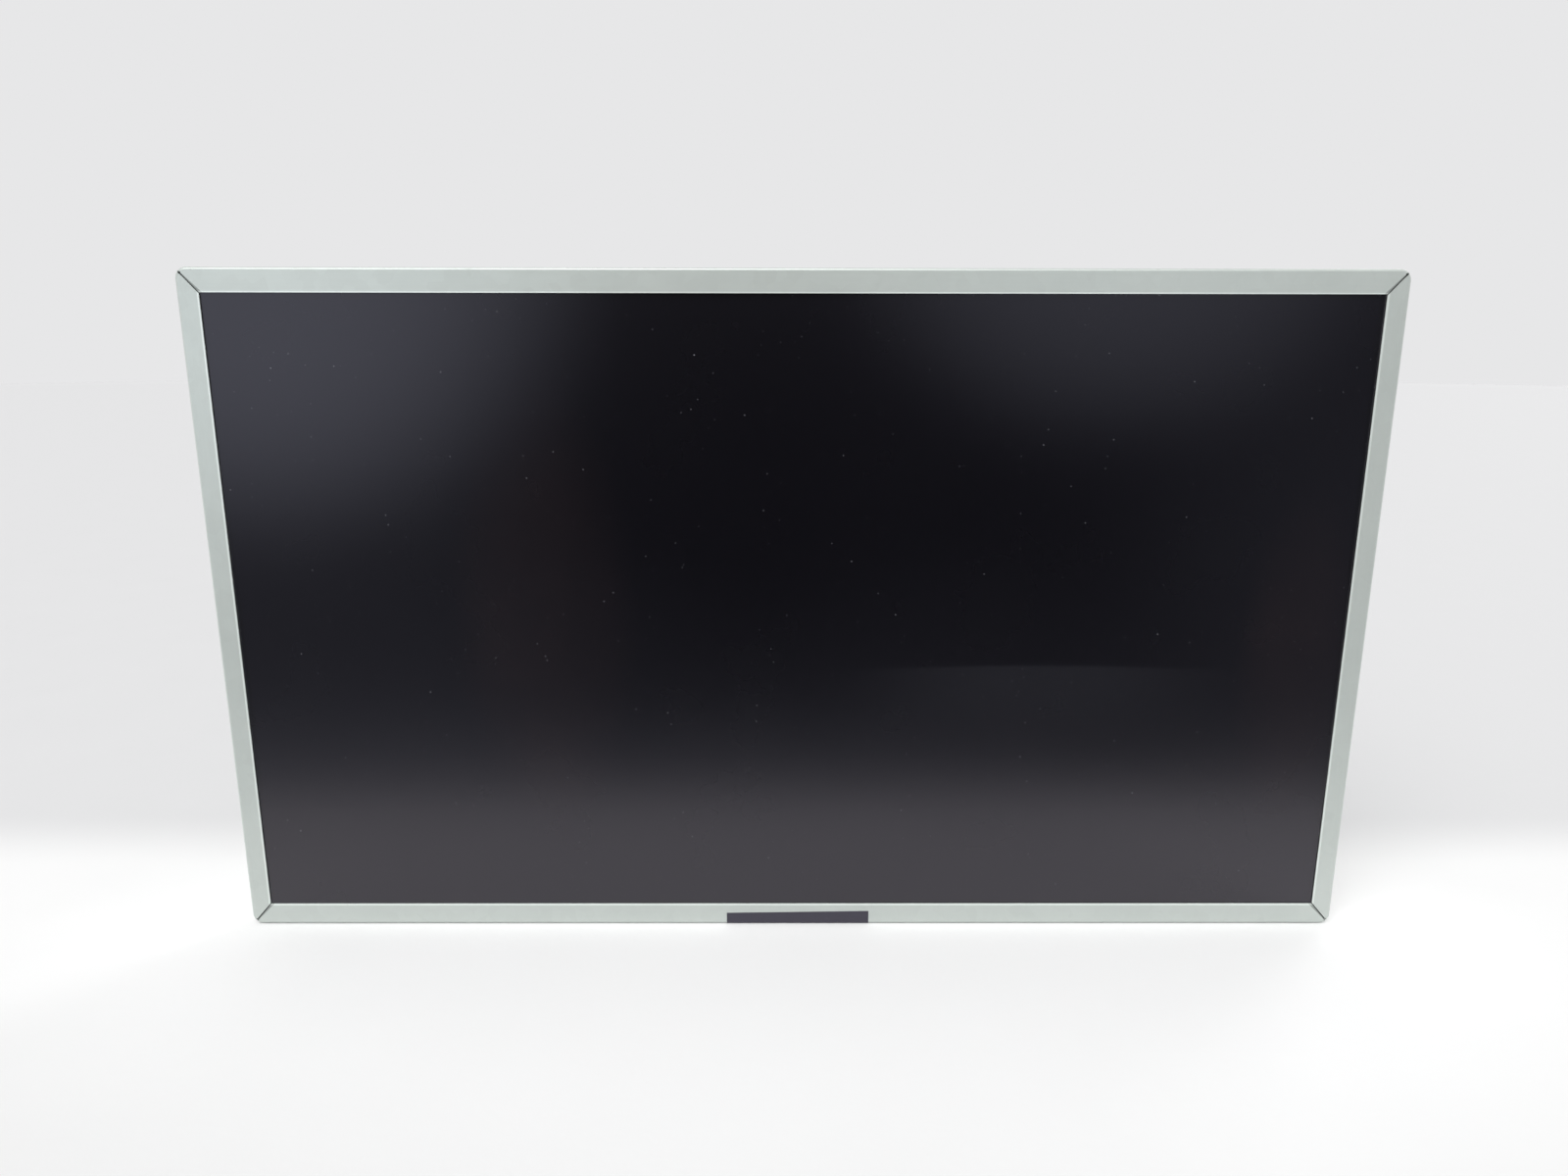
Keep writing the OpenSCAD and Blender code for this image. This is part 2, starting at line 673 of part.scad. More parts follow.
module diffuser_film() color([0.9, 0.9, 0.88]) upright() optical_sheet(z_sheets);
module prism_sheet() color([0.86, 0.88, 0.9]) upright() optical_sheet(z_sheets - sheet_t);
module diffuser_sheet() color(white) upright() optical_sheet(z_sheets - 2 * sheet_t);

// Clear acrylic plate, lit from below, with two notches a side for its stops.
module light_guide() {
    color([0.85, 0.93, 0.95]) upright() layer(z_guide, guide_t) difference() {
        rounded(inset(guide_in, guide_in, y_guide_bottom - bottom), 0);
        for (s = [-1, 1], y = notch_ys) translate([s * (panel_w / 2 - guide_in), y])
            square([2 * notch_d, notch_l], center = true);
    }
}

module light_guide_stops() {
    color([0.85, 0.85, 0.82]) upright() on_sides(notch_ys)
        translate([-guide_in - notch_d + stop_slip, -notch_l / 2 + stop_slip, z_reflector])
            cube([guide_slip + notch_d - stop_slip, notch_l - 2 * stop_slip, guide_t - slip]);
}

module reflector_sheet() {
    color(white) upright() layer(z_reflector, reflector_t)
        rounded(inset(guide_in, guide_in, y_guide_bottom - bottom), 0);
}

// Light bar: an aluminium cored board on edge, taped into the back cover's bottom wall.
module led_board() {
    color([0.9, 0.9, 0.88]) upright() translate([led_board_x[0], y_led_back, z_led])
        cube([led_board_x[1] - led_board_x[0], led_board_t, led_board_w]);
}

module led_heat_tape() {
    color([0.6, 0.62, 0.66]) upright()
        translate([led_board_x[0], y_led_back - heat_tape_t, z_led])
            cube([led_board_x[1] - led_board_x[0], heat_tape_t, led_board_w - slip]);
}

module led_lamps() {
    room = tail_x - tail_w / 2 - led_over - led_board_x[0];
    pitch = room / led_count;
    led_d = 0.85 * guide_t;
    color([0.95, 0.85, 0.35]) upright() for (i = [0 : led_count - 1])
        translate([led_board_x[0] + (i + 0.5) * pitch - led_l / 2, y_led, z_guide - (guide_t + led_d) / 2])
            cube([led_l, led_h, led_d]);
}

// Flexible tail of the light bar: out through the floor of the back cover, then up its back.
module led_tail() {
    color(copper_film) upright() across(tail_x - tail_w / 2, tail_w) {
        y = y_led;
        span([y, z_led + led_board_w - slip], [y + tail_t, z_cover_back + tail_bend_r]);
        translate([y + tail_t + tail_bend_r, z_cover_back + tail_bend_r])
            bend(tail_bend_r + tail_t, tail_t, 180);
        span([y + tail_t + tail_bend_r, z_cover_back], [tail_end, z_cover_back - tail_t]);
    }
}

// A socket block lying on its board, open towards +Y, with a slot for the plug.
module socket_body(w, d, h, wall) {
    difference() {
        translate([-w / 2, -d, -h]) cube([w, d, h]);
        translate([-w / 2 + 2 * wall, -d + socket_floor, -h + wall]) cube([w - 4 * wall, d, h - 2 * wall]);
    }
}

module contact_row(count, pitch, d, h, wall) {
    for (i = [0 : count - 1])
        translate([(i - (count - 1) / 2) * pitch - pin_w / 2, -d + socket_floor, -h + wall])
            cube([pin_w, d - 2 * socket_floor, pin_t]);
}

module led_socket() {
    color(white) upright() translate([tail_x, led_socket_y, z_cover_back - tail_t])
        socket_body(led_socket_w, led_socket_d, led_socket_h, led_socket_wall);
}

module led_socket_contacts() {
    color(gold) upright() translate([tail_x, led_socket_y, z_cover_back - tail_t])
        contact_row(led_pins, led_pin_pitch, led_socket_d, led_socket_h, led_socket_wall);
}

// Pressed steel back cover. Its stiffening beads keep one sheet thickness: each is a drafted
// ridge on the outside and the same ridge, set one thickness in, as a groove on the inside.
// Section of a ridge with 45 degree sides, as (across, Z), with its top at -h.
module ridge(w, h) {
    polygon([[-w / 2 - h, 0], [w / 2 + h, 0], [w / 2, -h], [-w / 2, -h]]);
}

module straight_bead(p, q, w, h) {
    run = q - p;
    translate([p[0], p[1], 0]) rotate(atan2(run[1], run[0])) across(0, norm(run)) ridge(w, h);
}

module ring_bead(area, r, w, h) {
    translate([0, area[2], 0]) for (i = [0 : 3]) {
        half = i % 2 == 0 ? [area[0] / 2, area[1] / 2] : [area[1] / 2, area[0] / 2];
        rotate(90 * i) {
            translate([half[0], half[1] - r, 0]) rotate([90, 0, 0])
                linear_extrude(2 * (half[1] - r)) ridge(w, h);
            translate([half[0] - r, half[1] - r, 0]) rotate_extrude(angle = 90)
                translate([r, 0]) ridge(w, h);
        }
    }
}

module beads(w) {
    ring = inset(bead_side, bead_top, bead_bottom);
    turn = [ring[0] / 2 - bead_corner, ring[1] / 2 - bead_corner];
    reach = turn * (1 + bead_corner / norm(turn));
    middle = [0, ring[2]];
    ring_bead(ring, bead_corner, w, bead_h);
    for (s = [-1, 1])
        straight_bead(middle - [reach[0], s * reach[1]], middle + [reach[0], s * reach[1]], w, bead_h);
    translate([0, ring[2], -bead_h])
        cylinder(h = bead_h, r1 = bead_disc_r + w / 2, r2 = bead_disc_r + w / 2 + bead_h);
}

module boss_points() {
    at_points(board_holes) children();
    for (x = shield_feet) translate([x, shield_top + foot_l / 2, 0]) children();
}

// A lug pressed out of the cover's wall into a window of the bezel, across the gap between them.
module lug(gap) {
    x = -bezel_t - gap;
    z = window_h / 2 - 2 * slip;
    l = window_l - 2 * lug_slip;
    translate([0, l / 2, z_wall]) rotate([90, 0, 0]) linear_extrude(l)
        polygon([[x - cover_t / 2, -z], [-slip, -z], [-slip, z * 0.2], [x, z], [x - cover_t / 2, z]]);
}

module back_cover() {
    outline = inset(cover_in, cover_in, cover_in_bottom);
    r = corner_r - cover_in;
    set = 2 * cover_t * (sqrt(2) - 1);
    color(steel) upright() difference() {
        union() {
            layer(z_floor, cover_t) rounded(shrink(outline, cover_bend_r), r - cover_bend_r);
            translate([0, 0, z_cover_back]) mirror([0, 0, 1])
                tray_rim(outline, r, cover_bend_r, cover_t, z_cover_front - z_cover_back);
            translate([0, 0, z_cover_back]) beads(bead_w);
            translate([0, 0, z_board]) boss_points()
                cylinder(h = boss_h, r1 = boss_top_r, r2 = boss_top_r + boss_h);
            at_upper_lugs() lug(slip);
            at_bottom_lugs() lug(film_room);
            on_sides(side_holes) translate([-cover_in - cover_t - collar_l, 0, z_wall]) rotate([0, 90, 0])
                cylinder(h = collar_l + cover_t / 2, r = side_hole_r + collar_t);
        }
        translate([0, 0, z_floor]) beads(bead_w - set);
        translate([0, 0, z_floor - boss_h]) boss_points()
            cylinder(h = boss_h + eps, r = boss_top_r - set / 2);
        translate([0, 0, z_board - eps]) boss_points()
            cylinder(h = cover_t + boss_h + 2 * eps, r = screw_r + thread_slip);
        on_sides(side_holes) translate([-skirt_in - collar_l, 0, z_wall]) rotate([0, 90, 0])
            cylinder(h = collar_l + skirt_in, r = side_hole_r);
        at_ears() translate([-ear_screw_in, 0, z_cover_back - eps])
            cylinder(h = cover_t + 2 * eps, r = ear_screw_r + slip);
        translate([tail_x - tail_w / 2 - tail_room, y_led - tail_room, z_cover_back - eps])
            cube([tail_w + 2 * tail_room, tail_t + tail_bend_r + 2 * tail_room, cover_t + 2 * eps]);
    }
}

// Thin insulating film between the driver board and the back cover.
module insulating_sheet() {
    color([0.85, 0.82, 0.6]) upright() layer(z_cover_back, sheet_under_t) difference() {
        board_outline(-sheet_under_in);
        at_points(board_holes) circle(boss_top_r + boss_h + eps);
    }
}

module board_outline(by) {
    translate([-board_w / 2 - by, board_y - by]) square([board_w + 2 * by, board_h + 2 * by]);
    translate([-tongue_w / 2 - by, board_y - by]) square([tongue_w + 2 * by, board_top - board_y + 2 * by]);
}

// The long driver board. Every film ends on its lower edge, and its tongue holds the timing
// chip and the signal socket.
module driver_board() {
    color(board_green) upright() layer(z_board, board_t) difference() {
        board_outline(0);
        at_points(board_holes) circle(screw_r + slip);
    }
}

// Parts soldered to the back of the board, each [x, y, width, height, thickness].
module on_board(parts) {
    for (p = parts) translate([p[0] - p[2] / 2, p[1] - p[3] / 2, z_board_back - p[4]])
        cube([p[2], p[3], p[4]]);
}

module timing_chip() {
    color(black) upright()
        on_board([[-6.5 * part_grid, board_y + 3.25 * part_grid, timing_w, timing_w, timing_t]]);
}

module board_chips() {
    y = board_y + 3 * part_grid;
    color(black) upright() on_board([[3 * part_grid, y, chip_l, chip_w, chip_t],
        [8 * part_grid, y, chip_w, chip_w, chip_t], [0, y, chip_w / 2, chip_w, chip_t],
        [-1.25 * film_pitch, y, chip_l, chip_w, chip_t], [1.25 * film_pitch, y, chip_l, chip_w, chip_t]]);
}

module board_capacitors() {
    near = [for (i = [0 : 7]) [(i * 0.7 - 14.25) * part_grid, board_y + 1.5 * part_grid,
        capacitor_w, capacitor_l, capacitor_t]];
    rows = [for (x = film_xs, i = [0 : 7]) [x + (i - 3.5) * part_grid,
        board_y + (1.5 + 1.75 * (i % 2)) * part_grid, capacitor_l, capacitor_w, capacitor_t]];
    clear = [for (p = rows) if (abs(p[0]) > tongue_w / 2) p];
    color([0.72, 0.6, 0.42]) upright() on_board(concat(near, clear));
}

module board_coils() {
    color([0.2, 0.2, 0.22]) upright() for (x = [11.5 * part_grid, 1.75 * film_pitch, -1.75 * film_pitch])
        translate([x, board_y + 3 * part_grid, z_board_back - coil_t]) cylinder(h = coil_t, r = coil_r);
}

socket_at = [0, board_top - socket_set, z_board_back];

module signal_socket() {
    color([0.9, 0.88, 0.82]) upright() translate(socket_at)
        socket_body(socket_w, socket_d, socket_h, socket_wall);
}

// Steel shell over the signal socket, open in front for the plug.
module signal_socket_shell() {
    t = shell_t;
    color(tinned) upright() translate(socket_at) difference() {
        translate([-socket_w / 2 - t, -socket_d - t, -socket_h - t])
            cube([socket_w + 2 * t, socket_d + t, socket_h + t]);
        translate([-socket_w / 2, -socket_d, -socket_h]) cube([socket_w, socket_d + eps, socket_h + eps]);
        for (s = [-1, 1]) translate([s * socket_w * 0.3 - vent_w, -socket_d * 0.6, -socket_h - t - eps])
            cube([2 * vent_w, socket_d * 0.4, t + 2 * eps]);
    }
}

module signal_socket_contacts() {
    color(gold) upright() translate(socket_at)
        contact_row(socket_pins, socket_pitch, socket_d, socket_h, socket_wall);
}

// Folded sheet cover over the driver board. Its lower edge tucks in behind the bezel's wall,
// and feet along its upper edge are screwed to the back cover's bosses.
module shield_section() {
    t = shield_t;
    r = fold_r + t;
    low = shield_y;
    high = shield_top;
    span([low + r, z_roof], [high - r, z_roof - t]);
    translate([low + r, z_back + r]) bend(r, t, 180);
    translate([high - r, z_back + r]) bend(r, t, -90);
    span([low, z_back + r], [low + t, z_cover_back + shield_lap]);
    span([high - t, z_back + r], [high, z_board - t - fold_r]);
}

module shield_foot() {
    t = shield_t;
    r = fold_r + t;
    translate([0, shield_top, 0]) across(-foot_w / 2, foot_w) {
        translate([fold_r, z_board - r]) bend(r, t, 90);
        span([fold_r, z_board], [foot_l, z_board - t]);
    }
}

// A row of ventilation slots through the shield's roof, round a place along it.
module vents(x, count) {
    for (i = [0 : count - 1])
        translate([x + (i - (count - 1) / 2) * vent_pitch - vent_w / 2, board_y + vent_up, z_back - eps])
            cube([vent_w, vent_l, shield_t + 2 * eps]);
}

module board_shield() {
    t = shield_t;
    side = [shield_w / 2 - t, shield_top - shield_y - 2 * t];
    notch = socket_d + socket_room;
    color(tinned) upright() difference() {
        union() {
            across(-shield_w / 2, shield_w) shield_section();
            for (x = [-side[0] - t, side[0]]) translate([x, shield_y + t, z_roof - t / 2])
                cube([t, side[1], shield_rise + t / 2 - fold_r]);
            for (x = shield_feet) translate([x, 0, 0]) shield_foot();
        }
        for (x = shield_feet) translate([x, shield_top + foot_l / 2, z_board - t - eps])
            cylinder(h = t + 2 * eps, r = screw_r + slip);
        translate([-socket_w / 2 - socket_room, socket_at[1] - notch, z_back - eps])
            cube([socket_w + 2 * socket_room, shield_top - socket_at[1] + notch + eps, z_board - z_back]);
        vents(-6.5 * part_grid, 10);
        for (x = [-1.65 * film_pitch, 1.65 * film_pitch]) vents(x, 6);
    }
}

module board_screws() {
    color(tinned) upright() at_points(board_holes)
        pan_screw(z_board_back, screw_r, board_t + cover_t + screw_tip, screw_head_r, screw_head_h);
}

module shield_screws() {
    color(tinned) upright() for (x = shield_feet) translate([x, shield_top + foot_l / 2, 0])
        pan_screw(z_board - shield_t, screw_r, shield_t + cover_t + screw_tip, screw_head_r, screw_head_h);
}

module ear_screws() {
    color(tinned) upright() at_ears() translate([-ear_screw_in, 0, 0])
        pan_screw(z_cover_back - bezel_t, ear_screw_r, ear_screw_l, 0.85 * screw_head_r, 0.7 * screw_head_h);
}

bezel();
edge_tape();
glass_cushions();
front_polarizer();
color_filter_glass();
tft_glass();
rear_polarizer();
glass_tape();
driver_films();
driver_chips();
mould_frame();
diffuser_film();
prism_sheet();
diffuser_sheet();
light_guide();
light_guide_stops();
reflector_sheet();
led_board();
led_lamps();
led_heat_tape();
led_tail();
led_socket();
led_socket_contacts();
back_cover();
insulating_sheet();
driver_board();
timing_chip();
board_chips();
board_capacitors();
board_coils();
signal_socket();
signal_socket_shell();
signal_socket_contacts();
board_shield();
board_screws();
shield_screws();
ear_screws();
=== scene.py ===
"""Dresses the lcd panel's CAD model and sets up its picture: camera, pale stage, soft light, finishes."""

import math

import bpy
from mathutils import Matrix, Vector


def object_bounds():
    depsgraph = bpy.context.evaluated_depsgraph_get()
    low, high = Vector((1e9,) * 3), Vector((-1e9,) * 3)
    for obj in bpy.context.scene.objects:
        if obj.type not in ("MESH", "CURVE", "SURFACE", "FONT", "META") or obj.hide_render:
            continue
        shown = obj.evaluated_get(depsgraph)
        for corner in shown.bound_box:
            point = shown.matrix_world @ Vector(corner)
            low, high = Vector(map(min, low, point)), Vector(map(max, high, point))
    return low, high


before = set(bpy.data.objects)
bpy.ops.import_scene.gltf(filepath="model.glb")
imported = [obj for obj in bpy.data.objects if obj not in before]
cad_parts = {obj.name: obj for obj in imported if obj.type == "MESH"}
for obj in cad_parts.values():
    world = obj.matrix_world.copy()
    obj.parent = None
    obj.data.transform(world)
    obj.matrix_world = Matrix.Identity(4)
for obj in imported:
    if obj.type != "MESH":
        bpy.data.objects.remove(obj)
cad_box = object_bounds()
scene = bpy.context.scene


# Camera. It looks slightly down on the upright panel from arm's length, through a wide lens.
# Its place was solved from the four corners of the opening in the photograph.
camera = bpy.data.objects.new("camera", bpy.data.cameras.new("camera"))
scene.collection.objects.link(camera)
scene.camera = camera
camera.data.lens = 24.3
camera.data.sensor_width = 36
camera.data.clip_start = 0.01
camera.location = (-0.0059, -0.4803, 0.1240)
camera.rotation_euler = [math.radians(turn) for turn in (77.022, -0.085, -0.177)]
scene.view_settings.view_transform = "Standard"


# Stage. A round pale floor, so wide that its edge melts into the sky. It is painted whitest at the foot
# of the panel, a painted pool of light against the shade the panel casts there, and a bare wall's pale
# grey behind and far off.
# Its finish is the first, so the shader words that every later finish uses are defined here.
class Wire:
    """One output of a shader node; sums written with it become Math nodes."""

    def __init__(self, finish, socket):
        self.finish, self.socket = finish, socket

    def maths(self, operation, *terms):
        return self.finish.node("ShaderNodeMath", {"operation": operation}, dict(enumerate(terms)))

    def __add__(self, other):
        return self.maths("ADD", self, other)

    def __sub__(self, other):
        return self.maths("SUBTRACT", self, other)

    def __rsub__(self, other):
        return self.maths("SUBTRACT", other, self)

    def __mul__(self, other):
        return self.maths("MULTIPLY", self, other)

    def __truediv__(self, other):
        return self.maths("DIVIDE", self, other)

    __radd__ = __add__
    __rmul__ = __mul__

    def size(self):
        return self.maths("ABSOLUTE", self)

    def wave(self, period):
        return self.maths("SINE", self * (2 * math.pi / period))

    def ramp(self, low, high):
        """0 below low, 1 above high, and smooth between them; low may be the greater."""
        values = {"Value": self, "From Min": low, "From Max": high}
        return self.finish.node("ShaderNodeMapRange", {"interpolation_type": "SMOOTHSTEP"}, values)


class Finish:
    """One procedural material, or the world, laid out in the shared frame in metres."""

    def __init__(self, name, shelf=bpy.data.materials):
        self.made = shelf.new(name)
        self.made.use_nodes = True
        self.tree = self.made.node_tree
        self.tree.nodes.clear()
        self.point = self.node("ShaderNodeTexCoord", output="Object")
        self.x, self.y, self.z = self.split(self.point)

    def node(self, kind, settings=None, values=None, output=0):
        """A node of any kind, with its settings made first and then its sockets filled or linked."""
        made = self.tree.nodes.new(kind)
        for name, value in (settings or {}).items():
            setattr(made, name, value)
        for name, value in (values or {}).items():
            if isinstance(value, Wire):
                self.tree.links.new(value.socket, made.inputs[name])
            else:
                made.inputs[name].default_value = value
        return Wire(self, made.outputs[output] if made.outputs else None)

    def split(self, vector):
        return [self.node("ShaderNodeSeparateXYZ", None, {0: vector}, axis) for axis in range(3)]

    def stretched(self, stretch):
        """The frame's point with each axis scaled, for grain that runs one way."""
        values = {0: self.point, 1: stretch}
        return self.node("ShaderNodeVectorMath", {"operation": "MULTIPLY"}, values)

    def noise(self, size, detail=3.0, stretch=(1, 1, 1), rough=0.55):
        """Noise of about 0 to 1 with features of the given size in metres."""
        values = {"Vector": self.stretched(stretch), "Scale": 1 / size}
        values.update({"Detail": detail, "Roughness": rough})
        return self.node("ShaderNodeTexNoise", None, values)

    def cells(self, size, output="Distance"):
        """The distance to the nearest cell's middle, in cells of the given size in metres."""
        values = {"Vector": self.stretched((1, 1, 1)), "Scale": 1 / size}
        return self.node("ShaderNodeTexVoronoi", None, values, output)

    def spot(self, centre_x, centre_z, reach_x, reach_z):
        """A soft oval in the panel's plane: 1 in its middle, 0 from its rim outwards."""
        off_x, off_z = (self.x - centre_x) / reach_x, (self.z - centre_z) / reach_z
        return (off_x * off_x + off_z * off_z).ramp(1.0, 0.0)

    def blend(self, share, first, second, kind="MIX"):
        """Colours mixed by share, from the first to the second."""
        values = {0: share, 6: first, 7: second}
        return self.node("ShaderNodeMix", {"data_type": "RGBA", "blend_type": kind}, values, 2)

    def tone(self, colour, level):
        """A colour made lighter or darker by a level about 1."""
        level = self.node("ShaderNodeCombineXYZ", None, {0: level, 1: level, 2: level})
        return self.blend(1.0, colour, level, "MULTIPLY")

    def bump(self, height, depth, under=None):
        """A bumped normal; depth is in metres for a height of 1."""
        values = {"Height": height, "Distance": depth, "Strength": 1.0}
        if under:
            values["Normal"] = under
        return self.node("ShaderNodeBump", None, values)

    def surface(self, values, shader="ShaderNodeBsdfPrincipled"):
        """Ends the material in one shader and returns the material."""
        self.node("ShaderNodeOutputMaterial", None, {"Surface": self.node(shader, None, values)})
        return self.made


def paint(red, green, blue):
    """A linear colour from one read off a screen, 0 to 255."""
    return tuple(((c / 255 + 0.055) / 1.055) ** 2.4 for c in (red, green, blue)) + (1.0,)


def stage_piece(name, corners, material):
    """One flat face that is stage and no part of the object."""
    mesh = bpy.data.meshes.new(name)
    mesh.from_pydata(corners, [], [range(len(corners))])
    mesh.materials.append(material)
    piece = bpy.data.objects.new(name, mesh)
    scene.collection.objects.link(piece)
    return piece


floor_z = cad_box[0].z
floor_r = 9.0
floor_sides = 96
lit_patch_half_w, lit_patch_half_d, lit_patch_y = 0.36, 0.18, -0.04
bare_wall, floor_paint, lit_patch_white = paint(213, 213, 214), paint(234, 234, 234), paint(252, 252, 252)
stage = Finish("stage_paper")
behind = stage.y.ramp(0.050, 0.120)
far_off = (stage.x * stage.x + stage.y * stage.y).ramp(0.7, 5.0)
# Painted pool of light: an oval of whiter floor at the panel's foot, against the shade the panel casts
# there.
across, along = stage.x / lit_patch_half_w, (stage.y - lit_patch_y) / lit_patch_half_d
painted_lit_patch = (across * across + along * along).ramp(1.3, 0.0)
mottle = stage.noise(0.05, 4.0) - 0.5
pale = stage.blend(painted_lit_patch, floor_paint, lit_patch_white)
pale = stage.blend(behind, pale, bare_wall)
pale = stage.blend(far_off, pale, bare_wall)
turns = [2 * math.pi * side / floor_sides for side in range(floor_sides)]
stage_piece(
    "stage_floor",
    [(floor_r * math.cos(turn), floor_r * math.sin(turn), floor_z) for turn in turns],
    stage.surface(
        {
            "Base Color": stage.tone(pale, 1 + mottle * 0.02),
            "Roughness": 0.75 + mottle * 0.1,
            "Specular IOR Level": 0.2,
            "Normal": stage.bump(stage.noise(0.004, 4.0), 0.00008),
        }
    ),
)


# Light. An even pale sky, and one very soft sun in front, above and a little to the left. A weak
# one behind, from the other side, draws the pressed forms of the back. Neither casts a hard edge.
studio = Finish("studio", bpy.data.worlds)
sky = studio.node("ShaderNodeBackground", None, {"Strength": 0.62, "Color": (1, 1, 1, 1)})
backdrop = studio.node("ShaderNodeBackground", None, {"Color": paint(231, 231, 232)})
to_camera = studio.node("ShaderNodeLightPath", output="Is Camera Ray")
seen = studio.node("ShaderNodeMixShader", None, {0: to_camera, 1: sky, 2: backdrop})
studio.node("ShaderNodeOutputWorld", None, {"Surface": seen})
scene.world = studio.made
for name, place, spread, power in (
    ("sun_front", (-0.35, -1.0, 1.35), 50, 2.07),
    ("sun_behind", (0.9, 1.0, 0.75), 25, 0.4),
):
    lamp = bpy.data.objects.new(name, bpy.data.lights.new(name, "SUN"))
    lamp.data.angle = math.radians(spread)
    lamp.data.energy = power
    lamp.location = place
    lamp.rotation_euler = Vector(place).to_track_quat("Z", "Y").to_euler()
    scene.collection.objects.link(lamp)


# The room in the screen. The dark film mirrors a dim room in front of it, so a card stands there
# which only glossy rays meet. It is dark, with soft pale patches high up and at the sides, and it
# grows paler towards the floor, less so at the right.
card_y, card_top, card_half_w = -0.16, 0.21, 0.50
card_foot = floor_z + 0.002
patch_squash = 1.2
room = Finish("stage_room")
level = room.noise(0.12, 2.0) * 0.02 + 0.004
for centre_x, centre_z, reach, glow in (
    (-0.32, 0.18, 0.23, 0.95),
    (0.19, 0.20, 0.18, 0.48),
    (0.43, -0.02, 0.28, 0.12),
    (-0.42, -0.05, 0.34, 0.14),
    (0.10, -0.12, 0.17, 0.05),
    (-0.14, -0.12, 0.17, 0.05),
):
    level = level + room.spot(centre_x, centre_z, reach, reach / patch_squash) * glow
level = level + room.z.ramp(-0.08, floor_z) * (0.2 - room.x.ramp(0.05, 0.42) * 0.09)
card = stage_piece(
    "stage_card",
    [
        (-card_half_w, card_y, card_foot),
        (card_half_w, card_y, card_foot),
        (card_half_w, card_y, card_top),
        (-card_half_w, card_y, card_top),
    ],
    room.surface({"Color": room.tone(paint(236, 244, 255), level), "Strength": 1.0}, "ShaderNodeEmission"),
)
for kind in ("camera", "diffuse", "shadow", "transmission", "volume_scatter"):
    setattr(card, "visible_" + kind, False)


# Bezel and back cover. Both are cut and bent from hot-dip galvanised sheet: a faint spangle a few
# millimetres across, rolling grain along each strip and rubbed bends. The sheared edges round the
# bezel's opening carry a painted highlight, and so does its lip over the glass. Its strips meet in
# mitre seams darkened with painted shade, and the bottom of its face has a painted contact shadow.
def dress(material, *names):
    """Gives CAD nodes a finish; their meshes stay as they are."""
    for name in names:
        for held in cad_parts[name].material_slots:
            held.material = material


half_w, half_h, face_y = 0.2666, 0.1560, -0.0063
lip_w, lip_h = 0.2573, 0.1456
spangle, grain_w, grain_run = 0.0055, 0.0009, 0.03
steel = Finish("galvanised_steel")
from_mitre = (steel.x.size() - half_w) - (steel.z.size() - half_h)
on_side = from_mitre.ramp(-0.0001, 0.0001)
shine = steel.split(steel.cells(spangle, "Color"))[0] - 0.5
along_x = steel.noise(grain_w, 2.0, (grain_run, 1, 1)) - 0.5
along_z = steel.noise(grain_w, 2.0, (1, 1, grain_run)) - 0.5
grain = along_x + (along_z - along_x) * on_side
cloud = steel.noise(0.03, 4.0) - 0.5
handling = steel.noise(0.011, 5.0, rough=0.7).ramp(0.62, 0.78)
pit = steel.cells(0.009).ramp(0.035, 0.02) * steel.noise(0.04, 2.0).ramp(0.55, 0.62)
nx, ny, nz = steel.split(steel.node("ShaderNodeTexCoord", output="Normal"))
bent = ny.size().ramp(0.10, 0.15) * ny.size().ramp(0.98, 0.93)
sheared = (nx.size() + nz.size()).ramp(0.72, 0.9) * steel.y.ramp(face_y + 0.00063, face_y + 0.0005)
inner_x = steel.x.size().ramp(half_w - 0.0021, half_w - 0.0041)
inner_z = steel.z.size().ramp(half_h - 0.0025, half_h - 0.0045)
# Painted highlight: the sheared edges round the opening are lightened by 60%.
cut_highlight = sheared * inner_x * inner_z
front = steel.y.ramp(face_y + 0.0011, face_y + 0.0007)
# Painted shade: the walls of the mitre gaps and a thin band of face beside each mitre are darkened.
seam_shade = (nx.size() * nz.size()).ramp(0.30, 0.42) + from_mitre.size().ramp(0.0007, 0.0004) * 0.6
# Painted highlight: a band 0.7 mm wide along the lip over the glass is lightened by 45%.
lip_highlight = steel.x.size().ramp(lip_w + 0.0007, lip_w) * steel.z.size().ramp(lip_h + 0.0007, lip_h)
# Painted contact shadow: the bottom edge of the face is darkened by up to 35%.
foot_shadow = steel.z.ramp(0.0014 - half_h, 0.0003 - half_h)
zinc = steel.blend(cloud + 0.5, paint(185, 192, 188), paint(195, 201, 197))
light = 1 + shine * 0.06 + grain * 0.05 - handling * 0.05 + cut_highlight * 0.6 + bent * 0.10
light = light + front * (lip_highlight * 0.45 - seam_shade * 0.85 - foot_shadow * 0.35) - pit * 0.4
relief = steel.bump(grain + shine * 0.4, 0.000012)
dress(
    steel.surface(
        {
            "Base Color": steel.tone(zinc, light),
            "Metallic": 0.35 + shine * 0.12,
            "Roughness": 0.46 + shine * 0.10 + grain * 0.08 + handling * 0.1 - bent * 0.08,
            "Normal": steel.bump(steel.noise(0.0004, 2.0), 0.000006, relief),
        }
    ),
    "bezel",
    "back_cover",
)


